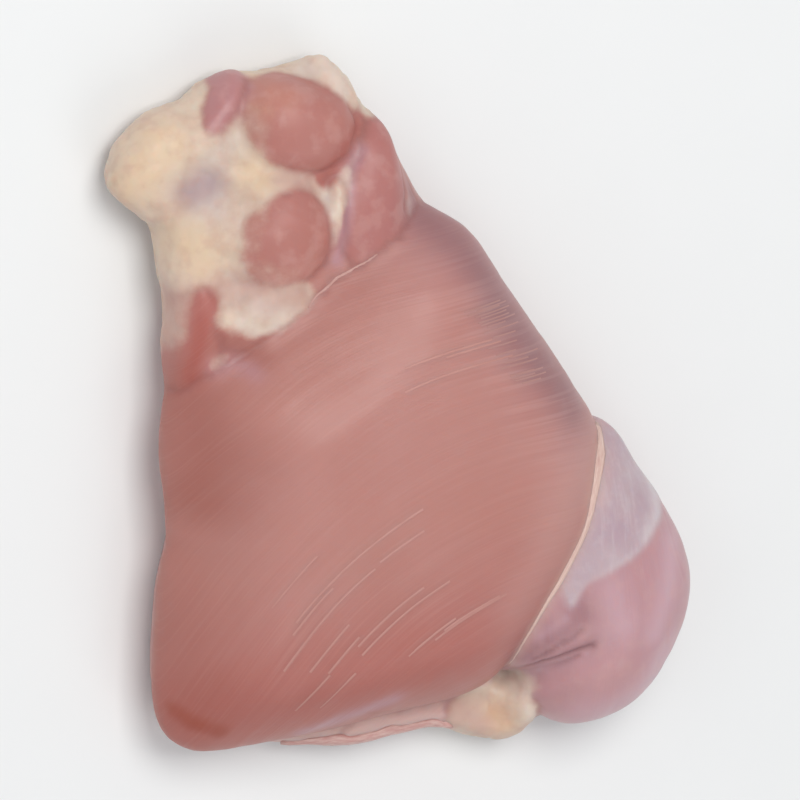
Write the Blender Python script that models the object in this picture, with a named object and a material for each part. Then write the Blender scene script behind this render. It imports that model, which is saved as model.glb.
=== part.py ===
"""A raw chicken thigh, boned and skinned, lying with its outer side up.

One piece of meat: a broad main muscle, a second muscle that comes out from under its right edge, a
strip muscle, two small muscle ends and a bed of fat at the narrow end. The lobes are closed forms given
by a few sizes each. They are joined into one solid as a distance field, so that a crease runs where two
of them meet, and the field's zero surface is the mesh.

Frame: millimetres in the tables, metres in the mesh. +X across the thigh, +Y along it towards the narrow
end, +Z up. The origin is on the face it rests on, below the middle.
"""
from collections import namedtuple

import bpy
import numpy as np
import openvdb

MM = 0.001
NODE = "thigh"

# Driving dimensions, in millimetres
MAIN_HEIGHT = 26.0          # top of the main muscle above the table
SIDE_HEIGHT = 20.5          # top of the second muscle
TUCK_HEIGHT = 10.5          # top of the layer that is folded underneath
FAT_HEIGHT = 12.5           # top of the fat bed at FAT_MIDDLE
FAT_RISE = (0.10, -0.06)    # how it climbs along X and Y
FAT_MIDDLE = (-30, 30)
MAIN_MIDDLE = (-4, -8)      # highest place of each muscle's back
SIDE_MIDDLE = (28, -26)
MAIN_FALLS = (8, 6)         # how much lower it is 40 mm from there, along X and Y
SIDE_FALLS = (7, 7)
EDGE_HEIGHT = 8.5           # height at which the muscles' sides are widest
THIN_EDGE_HEIGHT = 5.5      # the same for the fat bed and the layer underneath
MAIN_ROUND = 13.0           # width of the main muscle's rounded edge
FAT_SIDE_ROUND = 22.0       # the same where it slopes down to the fat
SIDE_ROUND = 12.0
THIN_ROUND = 8.5
CREASE = 0.9                # how far a crease between two muscles is rounded
FAT_CREASE = 3.2            # the same where the main muscle meets the fat
SOFT = 3.0                  # how far the ridges of a muscle's back are smoothed
SWELL = 0.45                # height of the slow uneven swelling, and its wave lengths
SWELL_LENGTHS = (47, 33, 24, 19)
FLAT = 0.3                  # what is lower than this is pressed flat on the table
VOXEL = 1.0                 # spacing of the field
TRIANGLES = 9200            # of the finished solid

# The field's box
LOW = np.array([-53.0, -63.0, -3.0])
HIGH = np.array([53.0, 63.0, 31.0])
FAR = 40.0                  # the field's value well outside the meat

# Outlines seen from above, in millimetres. Each is a closed smooth curve through its points.
MAIN_OUTLINE = [(-4, 31.5), (7, 28.5), (14.5, 18.5), (25, 3), (29.5, -3.2), (29.3, -7.6), (29.6, -12.4),
                (28.5, -21.7), (18, -34.2), (10, -42.8), (-8, -45.4), (-27, -47.8), (-36.8, -48), (-41.4, -44), (-41.8, -34),
                (-41.5, -14), (-40, 7), (-30, 15), (-17.5, 23.2)]
SIDE_OUTLINE = [(30.5, -3), (35.6, -10.4), (40.2, -16), (44.4, -25), (44.4, -34.5), (40.2, -43), (35, -47.8),
                (27.5, -50), (21.5, -48.4), (9.5, -37), (10, -20), (20, -6)]
TUCK_OUTLINE = [(-38.6, -45), (-16, -45.5), (8, -43.5), (16, -46.5), (26, -47.5), (38, -41), (41.5, -28),
                (34, -10), (19, 7), (6, 26), (-3, 40), (-12, 48.5), (-26, 49.5), (-39.5, 42), (-35.5, 24),
                (-38.5, -2)]
FAT_OUTLINE = [(-45.4, 41), (-42.4, 46), (-37, 49), (-31, 52), (-22, 53), (-12.5, 52.6), (-6.5, 44.5),
               (-1.5, 36.5), (0, 29), (-12, 18), (-24, 9), (-36, 7), (-36.3, 20), (-39, 30), (-42, 35.6)]


class Field:
    """A distance field on a regular grid: negative inside the meat, in millimetres."""

    def __init__(self, low, high, step):
        self.low = low
        self.step = step
        axes = [np.arange(a, b + step / 2, step) for a, b in zip(low, high)]
        self.x, self.y, self.z = np.meshgrid(*axes, indexing="ij", sparse=True)
        self.values = np.full([len(a) for a in axes], FAR, np.float32)

    def block(self, centre, reach):
        """Slices of the grid, and its coordinates there, within reach of a centre."""
        cut = []
        for axis, size in enumerate(self.values.shape):
            first = int((centre[axis] - reach - self.low[axis]) / self.step)
            last = int((centre[axis] + reach - self.low[axis]) / self.step) + 2
            cut.append(slice(max(first, 0), min(last, size)))
        return tuple(cut), self.x[cut[0]], self.y[:, cut[1]], self.z[:, :, cut[2]]

    def join(self, shape, blend, cut=(slice(None),) * 3):
        """Adds a lobe, rounding the crease between it and what is there by blend."""
        there = self.values[cut]
        blend = np.float32(blend)
        near = np.maximum(blend - np.abs(there - shape), 0.0) / blend
        self.values[cut] = np.minimum(there, shape) - near * near * blend / 4


def closed_curve(points, steps=8):
    """A closed smooth curve through points: a Catmull-Rom spline, with steps pieces from each to the next."""
    p = np.array(points, float)
    before, after, beyond = np.roll(p, 1, 0), np.roll(p, -1, 0), np.roll(p, -2, 0)
    t = (np.arange(steps) / steps)[None, :, None]
    p0, p1, p2, p3 = (q[:, None, :] for q in (before, p, after, beyond))
    curve = 0.5 * (2 * p1 + (p2 - p0) * t + (2 * p0 - 5 * p1 + 4 * p2 - p3) * t ** 2
                   + (3 * p1 - p0 - 3 * p2 + p3) * t ** 3)
    return curve.reshape(-1, 2)


def distance_to_path(path, x, y, closed=False):
    """Distance in plan from each (x, y) to a line through the points of path."""
    path = np.asarray(path, float)
    ends = np.roll(path, -1, 0) if closed else path[1:]
    best = np.full(np.broadcast(x, y).shape, 1e9)
    for a, b in zip(path, ends):
        d = b - a
        t = np.clip(((x - a[0]) * d[0] + (y - a[1]) * d[1]) / (d @ d), 0, 1)
        best = np.minimum(best, (x - a[0] - t * d[0]) ** 2 + (y - a[1] - t * d[1]) ** 2)
    return np.sqrt(best)


def distance_inside(outline, x, y):
    """Signed distance in plan to a closed outline: positive inside it."""
    path = closed_curve(outline)
    inside = np.zeros(np.broadcast(x, y).shape, bool)
    for a, b in zip(path, np.roll(path, -1, 0)):
        crosses = (a[1] > y) != (b[1] > y)
        if a[1] != b[1]:
            inside ^= crosses & (x < a[0] + (y - a[1]) * (b[0] - a[0]) / (b[1] - a[1]))
    away = distance_to_path(path, x, y, closed=True)
    return np.where(inside, away, -away)


def softened(values, reach, step):
    """Values over the plan, each averaged with those within about reach of it."""
    offsets = np.arange(-2 * reach, 2 * reach + step, step)
    weights = np.exp(-(offsets / reach) ** 2)
    weights /= weights.sum()
    margin = len(weights) // 2
    for _ in range(2):
        padded = np.pad(values, ((margin, margin), (0, 0)), mode="edge")
        values = sum(w * padded[i:i + len(values)] for i, w in enumerate(weights)).T
    return values


def to_distance(shape, step, steepest):
    """Turns a form that is zero on its surface into about a distance, by dividing it by its slope."""
    slope = np.sqrt(sum(g * g for g in np.gradient(shape, step)))
    return shape / np.maximum(slope, steepest)


def flat_lobe(field, outline, roundness, top, bottom, edge):
    """A flat muscle or layer: its outline in plan, widest at the height edge, with its rim rounded over
    roundness up to top and down to bottom."""
    x, y = field.x[:, :, 0], field.y[:, :, 0]
    depth = softened(distance_inside(outline, x, y), SOFT, field.step)
    rim = np.abs(1 - np.minimum(depth / roundness, 1))[:, :, None]
    above = np.maximum(np.broadcast_to(top, depth.shape)[:, :, None] - edge, 1.0)
    below = edge - bottom
    rise = np.where(field.z > edge, (field.z - edge) / above, (edge - field.z) / below)
    shape = np.hypot(rim, rise) - 1
    return to_distance(shape.astype(np.float32), field.step, 0.5 / MAIN_HEIGHT)


def round_lobe(field, lobe):
    """A round lobe: returns its distance field and the part of the grid that it fills."""
    reach = max(lobe.length, lobe.width, lobe.height) * 1.5 + lobe.crease + 2
    cut, x, y, z = field.block(lobe.centre, reach)
    angle = np.radians(lobe.turn)
    x, y = x - lobe.centre[0], y - lobe.centre[1]
    along = (x * np.cos(angle) + y * np.sin(angle)) / lobe.length
    across = y * np.cos(angle) - x * np.sin(angle) - lobe.bend * along ** 2
    across = across / (lobe.width * np.clip(1 - lobe.taper * along, 0.3, 2))
    up = (z - lobe.centre[2]) / lobe.height
    n = lobe.fullness
    shape = (np.abs(along) ** n + np.abs(across) ** n + np.abs(up) ** n) ** (1 / n) - 1
    return to_distance(shape.astype(np.float32), field.step, 0.3 / reach), cut


def crown(x, y, height, centre, falls):
    """The height of a muscle's back: height at centre, less by falls at 40 mm from it along X and Y."""
    return height - falls[0] * ((x - centre[0]) / 40) ** 2 - falls[1] * ((y - centre[1]) / 40) ** 2


# A round muscle end, lump of fat or fold of skin: its centre, half its length, width and height, the turn
# of its length from +X in degrees, how much its far end is narrower, how far it bends sideways, how full
# it is and how far the crease round it is rounded
Lobe = namedtuple("Lobe", "centre length width height turn taper bend fullness crease",
                  defaults=(0.0, 0.0, 2.3, 2.4))
FOLDS = {
    "fold_left": Lobe((-17.0, -46.0, 4.2), 15.0, 2.8, 3.2, -3, bend=1.0),
    "fold_right": Lobe((-2.8, -45.9, 4.2), 11.4, 3.3, 3.6, 3, 0.3, bend=-1.0),
}
FAT_LUMPS = {
    "outer": Lobe((-40.2, 40.8, 6.2), 7.4, 5.2, 5.0, 52, 0.1, fullness=3.0, crease=4.5),
    "middle": Lobe((-34.6, 30.5, 8.0), 9.0, 5.0, 5.2, 76, crease=4.5),
    "between": Lobe((-25.0, 38.4, 8.6), 9.0, 3.0, 5.6, -8, bend=0.8, crease=3.0),
    "below": Lobe((-26.0, 18.8, 9.4), 8.5, 3.6, 5.8, 28, crease=4.0),
    "rim": Lobe((-14.9, 33.6, 9.8), 5.0, 1.3, 6.1, 80, bend=0.6, crease=2.0),
    "point": Lobe((-12.5, 50.2, 7.0), 5.0, 2.3, 5.4, -52, 0.3),
    "foot": Lobe((12.6, -47.0, 3.4), 7.8, 3.8, 4.8, -20, -0.1, crease=4.2),
    "foot_ridge": Lobe((17.5, -44.6, 6.0), 4.3, 1.7, 6.2, -72, -0.2, crease=4.2),
    "slip": Lobe((-35.6, 15.4, 8.6), 9.5, 3.6, 5.0, 84, 0.1, crease=5.0),
}
MUSCLE_ENDS = {
    "upper_end": Lobe((-19.7, 45.4, 9.8), 8.9, 6.9, 7.0, -14, 0.1, fullness=2.4, crease=2.2),
    "lower_end": Lobe((-22.8, 29.4, 10.2), 8.2, 7.1, 7.0, 44, fullness=2.4, crease=2.8),
    "strip": Lobe((-8.8, 33.8, 9.0), 11.5, 6.4, 7.2, 76, 0.38, 0.8, crease=2.6),
    "outer_strip": Lobe((-31.4, 47.6, 6.6), 7.2, 2.9, 5.2, 50, crease=2.6),
}

# Grooves in the surface: the path in plan, the depth at each end of it, and the half width. They are the
# crease in the side muscle, the soft hollow at the left and the one in the fat.
GROOVES = [([(27, -35.6), (22.5, -37.4), (15.5, -41.2)], (0.6, 2.4), 2.0),
           ([(-36, 6), (-34.5, -4), (-37, -15)], (1.2, 1.6), 6.0),
           ([(-35.8, 39.8), (-37.4, 37.4)], (0.7, 0.7), 2.8)]


def groove(path, depths, half_width, x, y):
    """Depth at each (x, y) of a groove along path, going from the first of depths to the second."""
    start, end = np.array(path[0], float), np.array(path[-1], float)
    run = end - start
    share = np.clip(((x - start[0]) * run[0] + (y - start[1]) * run[1]) / (run @ run), 0, 1)
    depth = depths[0] + (depths[1] - depths[0]) * share
    return depth * np.exp(-(distance_to_path(path, x, y) / half_width) ** 2)


def wave(x, y, z, lengths, seed):
    """Slow uneven swelling between -1 and 1, from a few waves of the given lengths in seeded directions."""
    draw = np.random.default_rng(seed)
    total = 0.0
    for length in lengths:
        direction = draw.normal(size=3)
        direction /= np.linalg.norm(direction)
        phase = draw.uniform(0, 2 * np.pi)
        travel = x * direction[0] + y * direction[1] + z * direction[2]
        total = total + np.sin(travel * 2 * np.pi / length + phase)
    return total / len(lengths)


def thigh_field(field):
    """Joins every lobe of the thigh, presses in its grooves and cuts it flat where it rests."""
    x, y = field.x[:, :, 0], field.y[:, :, 0]
    field.join(flat_lobe(field, TUCK_OUTLINE, THIN_ROUND, TUCK_HEIGHT, -4.0, THIN_EDGE_HEIGHT), CREASE)
    fat_top = FAT_HEIGHT + FAT_RISE[0] * (x - FAT_MIDDLE[0]) + FAT_RISE[1] * (y - FAT_MIDDLE[1])
    field.join(flat_lobe(field, FAT_OUTLINE, THIN_ROUND, fat_top, -1.0, THIN_EDGE_HEIGHT), FAT_CREASE)
    for lobe in [*FOLDS.values(), *FAT_LUMPS.values(), *MUSCLE_ENDS.values()]:
        shape, cut = round_lobe(field, lobe)
        field.join(shape, lobe.crease, cut)
    side_top = crown(x, y, SIDE_HEIGHT, SIDE_MIDDLE, SIDE_FALLS)
    field.join(flat_lobe(field, SIDE_OUTLINE, SIDE_ROUND, side_top, 0.0, EDGE_HEIGHT), CREASE)
    main_top = crown(x, y, MAIN_HEIGHT, MAIN_MIDDLE, MAIN_FALLS)
    towards_fat = 1 / (1 + np.exp((x - y + 14) / 7))
    main_round = MAIN_ROUND + (FAT_SIDE_ROUND - MAIN_ROUND) * towards_fat
    crease = CREASE + (FAT_CREASE - CREASE) * towards_fat[:, :, None]
    field.join(flat_lobe(field, MAIN_OUTLINE, main_round, main_top, 0.5, EDGE_HEIGHT), crease)
    for path, depths, half_width in GROOVES:
        field.values += groove(path, depths, half_width, x, y)[:, :, None].astype(np.float32)
    field.values -= SWELL * wave(field.x, field.y, field.z, SWELL_LENGTHS, seed=7).astype(np.float32)
    field.values = np.maximum(field.values, np.broadcast_to(-field.z, field.values.shape).astype(np.float32))
    return field


def surface_mesh(field, name):
    """The field's zero surface as a closed mesh, in metres, with its faces pointing out."""
    grid = openvdb.FloatGrid(FAR)
    grid.copyFromArray(field.values.astype(np.float32))
    points, quads = grid.convertToQuads(isovalue=0.0)
    points = (points * field.step + field.low) * MM
    points[:, 2] = np.where(points[:, 2] < FLAT * MM, 0.0, points[:, 2])
    corners = points[quads[:, :3]].astype(float)
    if np.linalg.det(corners).sum() < 0:
        quads = quads[:, ::-1]
    mesh = bpy.data.meshes.new(name)
    mesh.from_pydata(points.tolist(), [], quads.tolist())
    mesh.validate()
    mesh.update()
    return mesh


def raw_meat(name, colour, roughness):
    """A Principled material for the solid."""
    material = bpy.data.materials.new(name)
    material.use_nodes = True
    shader = material.node_tree.nodes["Principled BSDF"]
    shader.inputs["Base Color"].default_value = (*colour, 1.0)
    shader.inputs["Roughness"].default_value = roughness
    shader.inputs["Metallic"].default_value = 0.0
    return material


def main():
    for obj in list(bpy.data.objects):
        bpy.data.objects.remove(obj)
    field = thigh_field(Field(LOW, HIGH, VOXEL))
    mesh = surface_mesh(field, NODE)
    thigh = bpy.data.objects.new(NODE, mesh)
    bpy.context.scene.collection.objects.link(thigh)
    mesh.materials.append(raw_meat("meat", (0.52, 0.26, 0.22), 0.4))
    mesh.shade_smooth()
    fewer = thigh.modifiers.new("fewer_faces", "DECIMATE")
    fewer.ratio = TRIANGLES / (2 * len(mesh.polygons))


main()
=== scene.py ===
"""A raw chicken thigh, boned and skinned, lying with its outer side up: the finished surface.

The meat is one closed piece that stands for the frame's solid. Its lobes are the solid's own, evaluated
on a finer grid, so that each muscle, lump of fat and fold keeps its place. Fibres, lobules and creases
are relief in its mesh. Thin things on it are pieces of their own: the pale edge of the main muscle, its
white seam with the fat, the threads between its fibres and the folds of skin along the broad end.

Lengths in the tables are millimetres in the thigh's frame: +X across it, +Y towards its narrow end, +Z up.
"""
import math
from collections import namedtuple
from itertools import product
from types import SimpleNamespace

import bpy
import numpy as np
import openvdb
from mathutils import Matrix, Vector
from mathutils.bvhtree import BVHTree


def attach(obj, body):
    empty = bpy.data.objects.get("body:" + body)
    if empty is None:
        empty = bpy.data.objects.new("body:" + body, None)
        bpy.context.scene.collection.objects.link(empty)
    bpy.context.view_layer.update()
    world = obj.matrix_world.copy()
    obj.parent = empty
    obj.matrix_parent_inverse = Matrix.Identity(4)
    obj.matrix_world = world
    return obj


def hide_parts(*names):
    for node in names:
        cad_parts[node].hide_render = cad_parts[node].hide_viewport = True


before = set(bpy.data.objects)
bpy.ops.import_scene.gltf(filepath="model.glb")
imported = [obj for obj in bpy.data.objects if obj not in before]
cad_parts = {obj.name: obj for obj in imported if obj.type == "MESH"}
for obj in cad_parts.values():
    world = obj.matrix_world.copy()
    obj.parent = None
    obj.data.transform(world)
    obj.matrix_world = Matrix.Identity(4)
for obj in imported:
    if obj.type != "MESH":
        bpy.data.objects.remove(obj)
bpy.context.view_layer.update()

MM = 0.001
BODY = "root"
SOLID = "thigh"
FAT = ("bed", "outer", "middle", "between", "below", "rim", "point", "foot", "foot_ridge", "slip")

# The view: directions of the photograph's right and of the way back to the camera, in the thigh's frame
VIEW_RIGHT = Vector((0.903, -0.002, 0.429))
VIEW_BACK = Vector((-0.419, 0.21, 0.883))
VIEW_DISTANCE = 2.184
VIEW_WIDTH = 0.1188
VIEW_CENTRE = (0.00216, 0.00036)    # right of and above the origin, in the picture's plane
SENSOR = 36.0

# Each lamp's place, right of and above the thigh as it is seen and towards the camera, in metres, then its
# size, power and colour
LAMPS = {
    "key": ((0.34, 0.22, 0.93), 0.55, 5.9, (1.0, 0.985, 0.96)),
    "fill": ((-0.6, 0.0, 0.9), 0.9, 1.5, (0.96, 0.98, 1.0)),
    "low": ((0.6, -0.75, 0.4), 0.7, 2.0, (1.0, 0.98, 0.97)),
}
ROOM_COLOUR = (0.93, 0.96, 1.0, 1)
ROOM_LIGHT = 0.44
TABLE_HALF = 1.2            # half the table's side, and how far it lies below the meat, in metres
TABLE_GAP = 0.00005

# The thigh's form, in millimetres: the solid's own sizes
MAIN_HEIGHT = 26.0          # top of the main muscle above the table
SIDE_HEIGHT = 20.5          # top of the second muscle
TUCK_HEIGHT = 10.5          # top of the layer that is folded underneath
FAT_HEIGHT = 12.5           # top of the fat bed at FAT_MIDDLE
FAT_RISE = (0.10, -0.06)    # how it climbs along X and Y
FAT_MIDDLE = (-30, 30)
MAIN_MIDDLE = (-4, -8)      # highest place of each muscle's back
SIDE_MIDDLE = (28, -26)
MAIN_FALLS = (8, 6)         # how much lower it is 40 mm from there, along X and Y
SIDE_FALLS = (7, 7)
EDGE_HEIGHT = 8.5           # height at which the muscles' sides are widest
THIN_EDGE_HEIGHT = 5.5      # the same for the fat bed and the layer underneath
MAIN_ROUND = 13.0           # width of the main muscle's rounded edge
FAT_SIDE_ROUND = 22.0       # the same where it slopes down to the fat, beyond the line y = x + FAT_LINE
FAT_LINE = 14.0
FAT_LINE_WIDTH = 7.0        # how slowly the one goes over into the other
SIDE_ROUND = 12.0
THIN_ROUND = 8.5
CREASE = 0.9                # how far a crease between two muscles is rounded
FAT_CREASE = 3.2            # the same where the main muscle meets the fat
SOFT = 3.0                  # how far the ridges of a muscle's back are smoothed
SWELL = 0.45                # height of the slow uneven swelling, and its wave lengths
SWELL_LENGTHS = (47, 33, 24, 19)
SWELL_SEED = 7
FLAT = 0.3                  # what is lower than this is pressed flat on the table
GRID = 0.485                # spacing of the field
LOW = np.array([-53.0, -63.0, -3.0])
HIGH = np.array([53.0, 63.0, 31.0])
FAR = 40.0

MAIN_OUTLINE = [(-4, 31.5), (7, 28.5), (14.5, 18.5), (25, 3), (29.5, -3.2), (29.3, -7.6), (29.6, -12.4),
                (28.5, -21.7), (18, -34.2), (10, -42.8), (-8, -45.4), (-27, -47.8), (-36.8, -48),
                (-41.4, -44), (-41.8, -34), (-41.5, -14), (-40, 7), (-30, 15), (-17.5, 23.2)]
SIDE_OUTLINE = [(30.5, -3), (35.6, -10.4), (40.2, -16), (44.4, -25), (44.4, -34.5), (40.2, -43), (35, -47.8),
                (27.5, -50), (21.5, -48.4), (9.5, -37), (10, -20), (20, -6)]
TUCK_OUTLINE = [(-38.6, -45), (-16, -45.5), (8, -43.5), (16, -46.5), (26, -47.5), (38, -41), (41.5, -28),
                (34, -10), (19, 7), (6, 26), (-3, 40), (-12, 48.5), (-26, 49.5), (-39.5, 42), (-35.5, 24),
                (-38.5, -2)]
FAT_OUTLINE = [(-45.4, 41), (-42.4, 46), (-37, 49), (-31, 52), (-22, 53), (-12.5, 52.6), (-6.5, 44.5),
               (-1.5, 36.5), (0, 29), (-12, 18), (-24, 9), (-36, 7), (-36.3, 20), (-39, 30), (-42, 35.6)]

# A round muscle end, lump of fat or fold: its centre, half its length, width and height, the turn of its
# length from +X in degrees, how much its far end is narrower, how far it bends sideways, how full it is
# and how far the crease round it is rounded
Lobe = namedtuple("Lobe", "centre length width height turn taper bend fullness crease",
                  defaults=(0.0, 0.0, 2.3, 2.4))
FOLDS = {
    "fold_left": Lobe((-17.0, -46.0, 4.2), 15.0, 2.8, 3.2, -3, bend=1.0),
    "fold_right": Lobe((-2.8, -45.9, 4.2), 11.4, 3.3, 3.6, 3, 0.3, bend=-1.0),
}
FAT_LUMPS = {
    "outer": Lobe((-40.2, 40.8, 6.2), 7.4, 5.2, 5.0, 52, 0.1, fullness=3.0, crease=4.5),
    "middle": Lobe((-34.6, 30.5, 8.0), 9.0, 5.0, 5.2, 76, crease=4.5),
    "between": Lobe((-25.0, 38.4, 8.6), 9.0, 3.0, 5.6, -8, bend=0.8, crease=3.0),
    "below": Lobe((-26.0, 18.8, 9.4), 8.5, 3.6, 5.8, 28, crease=4.0),
    "rim": Lobe((-14.9, 33.6, 9.8), 5.0, 1.3, 6.1, 80, bend=0.6, crease=2.0),
    "point": Lobe((-12.5, 50.2, 7.0), 5.0, 2.3, 5.4, -52, 0.3),
    "foot": Lobe((12.6, -47.0, 3.4), 7.8, 3.8, 4.8, -20, -0.1, crease=4.2),
    "foot_ridge": Lobe((17.5, -44.6, 6.0), 4.3, 1.7, 6.2, -72, -0.2, crease=4.2),
    "slip": Lobe((-35.6, 15.4, 8.6), 9.5, 3.6, 5.0, 84, 0.1, crease=5.0),
}
MUSCLE_ENDS = {
    "upper_end": Lobe((-19.7, 45.4, 9.8), 8.9, 6.9, 7.0, -14, 0.1, fullness=2.4, crease=2.2),
    "lower_end": Lobe((-22.8, 29.4, 10.2), 8.2, 7.1, 7.0, 44, fullness=2.4, crease=2.8),
    "strip": Lobe((-8.8, 33.8, 9.0), 11.5, 6.4, 7.2, 76, 0.38, 0.8, crease=2.6),
    "outer_strip": Lobe((-31.4, 47.6, 6.6), 7.2, 2.9, 5.2, 50, crease=2.6),
}
GROOVES = [([(27, -35.6), (22.5, -37.4), (15.5, -41.2)], (0.6, 2.4), 2.0),
           ([(-36, 6), (-34.5, -4), (-37, -15)], (1.2, 1.6), 6.0),
           ([(-35.8, 39.8), (-37.4, 37.4)], (0.7, 0.7), 2.8)]

# The fibres of the main muscle run where this polynomial of x and y, seen from above, stays the same
FIBRE_RULE = {"y": 1.0, "x": -0.259, "xx": 0.0082, "xy": 0.0069, "yy": 0.0031}
FIBRE_HEADING = np.radians(25)      # their direction in the middle, from +X, and in the other muscles
FIBRE_TURNS = {"side": 96, "strip": 76, "upper_end": -12, "lower_end": -30, "outer_strip": 42}

# Pale striations of the main muscle: where each starts, at its lower left, and its length
STRIATIONS = [(-25.2, -26.4, 25), (-25.6, -28.3, 9), (-26.7, -33.8, 20), (-22.8, -34.2, 9), (-20, -34.6, 7),
              (-15.6, -30.8, 13), (-14.9, -32.2, 17), (-20, -40.4, 7), (-23.7, -40.6, 7), (-3.3, -30.9, 13),
              (-1.9, -29.6, 10), (-12.8, -18, 8), (-28.8, -24, 10), (-7.5, -33, 9)]
LONG_THREADS = [(-8.2, 10.5, 15), (-8.6, 7.1, 19), (-1.7, 11.6, 10)]
FAN = [(3.4, 17.8), (5.4, 14.9), (8.7, 8.9), (11, 5.8)]
FAN_COUNT = 20              # short fine threads that start along FAN
FAN_SEED = 3
THREAD_START = 0.06         # how high their lines lie before they are dropped on the meat, in metres
THREAD_DROP = 0.1           # how far they are dropped at most
THREAD_STEP = 0.0006        # length of one piece of a thread
THREAD_SIDES = 6

# Strips that lie on the meat
PALE_EDGE_SPAN = (-38, -4)          # the pale edge's ends in Y, and its width from the first to the other
EDGE_SHIFT = -0.3
PALE_EDGE_WIDTHS = [0.25, 0.35, 0.5, 0.7, 0.8, 0.85, 0.85, 0.9, 1.1, 1.5, 1.9, 1.0]
WHITE_SEAM_SPAN = (-20, -9)         # the same in X for the line between the main muscle and the fat
WHITE_SEAM_WIDTHS = [0.2, 0.3, 0.32, 0.28, 0.2]
WHITE_SEAM_POINTS = 8
SKIN_FOLDS = {              # each fold's path, its widths along it and the seed of its frill
    "fold_upper": ([(-20, -48, 5.5), (-12, -48.6, 6.5), (-4, -48.6, 7), (4, -48, 6.4), (8, -47.5, 6)],
                   [0.8, 2.2, 2.6, 2, 0.7], 31),
    "fold_lower": ([(-14, -49.4, 3), (-7, -49.6, 3.8), (0, -49.4, 4), (6, -48.6, 3.6)],
                   [0.6, 1.8, 2.2, 0.7], 32),
}
BAND_RIBS = 8               # faces across a strip, and along it from one point of its path to the next
BAND_STEPS = 6
BAND_SINK = 0.25            # how deep its underside lies in the meat

# Places on the surface, each a path of (x, y, z) in millimetres, or of (x, y) over the upper side
FILM_OUTLINE = [(31.5, -1), (27, -7), (24, -14), (21.5, -19.5), (18.6, -24.6), (20.6, -29.4),
                (23.4, -26.2), (26.5, -24.9), (29.6, -23.6), (32.4, -22.2), (35.6, -19.7), (39.6, -16.4),
                (43, -12), (40, -1)]
FILM_STREAK = [(37.8, -13.5), (36.8, -17), (33.8, -20.4)]
FILM_RIM = [(33.8, -20.9), (29.4, -23), (26.4, -24.4), (23.4, -25.9), (21.2, -28.2)]
# Painted shade: the darkest line, along the crease between the main and side muscles and the wrinkles beside
# it
SIDE_CREASE = [(24.8, -35.6, 19.5), (22.6, -36, 19.2), (20.5, -36.8, 18.5), (18.1, -37.8, 17.1),
               (16.2, -39.1, 14.8)]
SIDE_WRINKLES = [[(19.9, -34.2, 19.8), (17.8, -36, 18.6), (16.2, -37.4, 17.1)],
                 [(22.9, -37, 18.7), (20.8, -38.4, 17.3), (19, -39.4, 16)],
                 [(22.6, -32.6, 20.3), (19.8, -34.9, 19.7)]]
SIDE_SHADE = [(24, -34.9, 19.6), (19.5, -35.8, 19.2), (16.5, -37, 17.6), (13.5, -38.4, 16)]
SIDE_MAUVE = [(22.4, -30.1), (20.2, -32.2), (17, -34.6), (14.4, -37)]
SIDE_PINK = [(23.5, -45.2), (27.8, -42.2), (31.5, -41.5)]
# Painted light on the side muscle, in the next four paths: a highlight along its rim, light on its lower
# part, lit patches and the lit turn where it meets the main muscle
SIDE_SHEEN = [(38.8, -22), (37.2, -28.9), (35.2, -34.8)]
SIDE_LOW = [(25, -47), (30, -46.4), (35, -43.4), (39, -38.4)]
SIDE_LIGHT = [(27.6, -27.6), (29.4, -32.4)]
SIDE_TURN = [(16, -33.6), (18.1, -32), (19.8, -30.8)]
# Grey-mauve along the main muscle's upper right edge, darkened there by painted shade
MAUVE_SHADED_EDGE = [(0.4, 30.7), (4.3, 27.3), (8.2, 21.7), (11.9, 14.9), (16, 8.5), (21.9, 1.3)]
MAUVE_HOLLOW = [(-37, 37.2), (-34.6, 38.5)]
RED_SLIP = [(-35.5, 21), (-36.1, 19), (-36.4, 15.5), (-37.2, 10)]
SLIP_EDGE = [(-40, 10), (-40.2, 4)]
RED_TAIL = [(-10.2, 45.5), (-12.4, 43.5), (-14.5, 40.5), (-16.3, 38)]
# Painted shade: a dark red line in the recess under the main muscle's broad edge
RECESS_SHADE = [(-10.5, -42.8, 16.4), (-5.4, -43, 14.8), (2, -43.6, 11.5), (9.1, -42.6, 10.5),
            (12.2, -41.2, 12.5)]
BROWN_PATCH = [(-32.8, 14.6), (-31.1, 14.4), (-28.4, 12.9)]
BARE = [[(-3.6, 40.5), (0.6, 33)], [(-17.6, 23.4), (-15.4, 25), (-12.8, 27), (-12.6, 30.5)]]
FAT_PIT = [(11.6, -44.4), (14.6, -43.2), (16.2, -42.2)]
VEIL = [[(-27.6, 43), (-26.8, 48.5)], [(-28.4, 25.6), (-22, 23.6)], [(-29.5, 29), (-28, 33.5)]]
RED_END = [(-13.8, 47.2), (-12.6, 44), (-14.2, 41.5)]
# Painted shade down the left side, in the hollow there, and a darker brown along the lower left edge
LEFT_SHADE = [(-37.5, 4.9), (-36.6, -1.5), (-36.6, -8.5)]
LOWER_LEFT = [(-39.4, -18), (-38.8, -26), (-38.6, -33), (-37, -40)]
# Painted light: paler where the light falls along the main muscle's right side
RIGHT_PAINTED_LIGHT = [(21.5, -1.5), (19.5, -10), (16, -19), (10.5, -27.5)]
LOW_MUSCLE = [(-36, -41), (-20, -37), (-2, -34), (10, -30)]
JUICE_SPOT = [(-40.2, -40.4, 11.8), (-38.6, -41.6, 13), (-36.2, -42.8, 14), (-34, -43.8, 14.4)]
LINED = [(3, 18.5), (7.5, 12.5), (11.5, 6.5), (17.5, 0.5)]
STRIATED = [(-24, -31), (-14, -25), (-4, -24)]
SHEEN_BAND = [(-20, -45, 14.2), (-14, -42.6, 17), (-8, -40.4, 18.8)]
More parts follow.
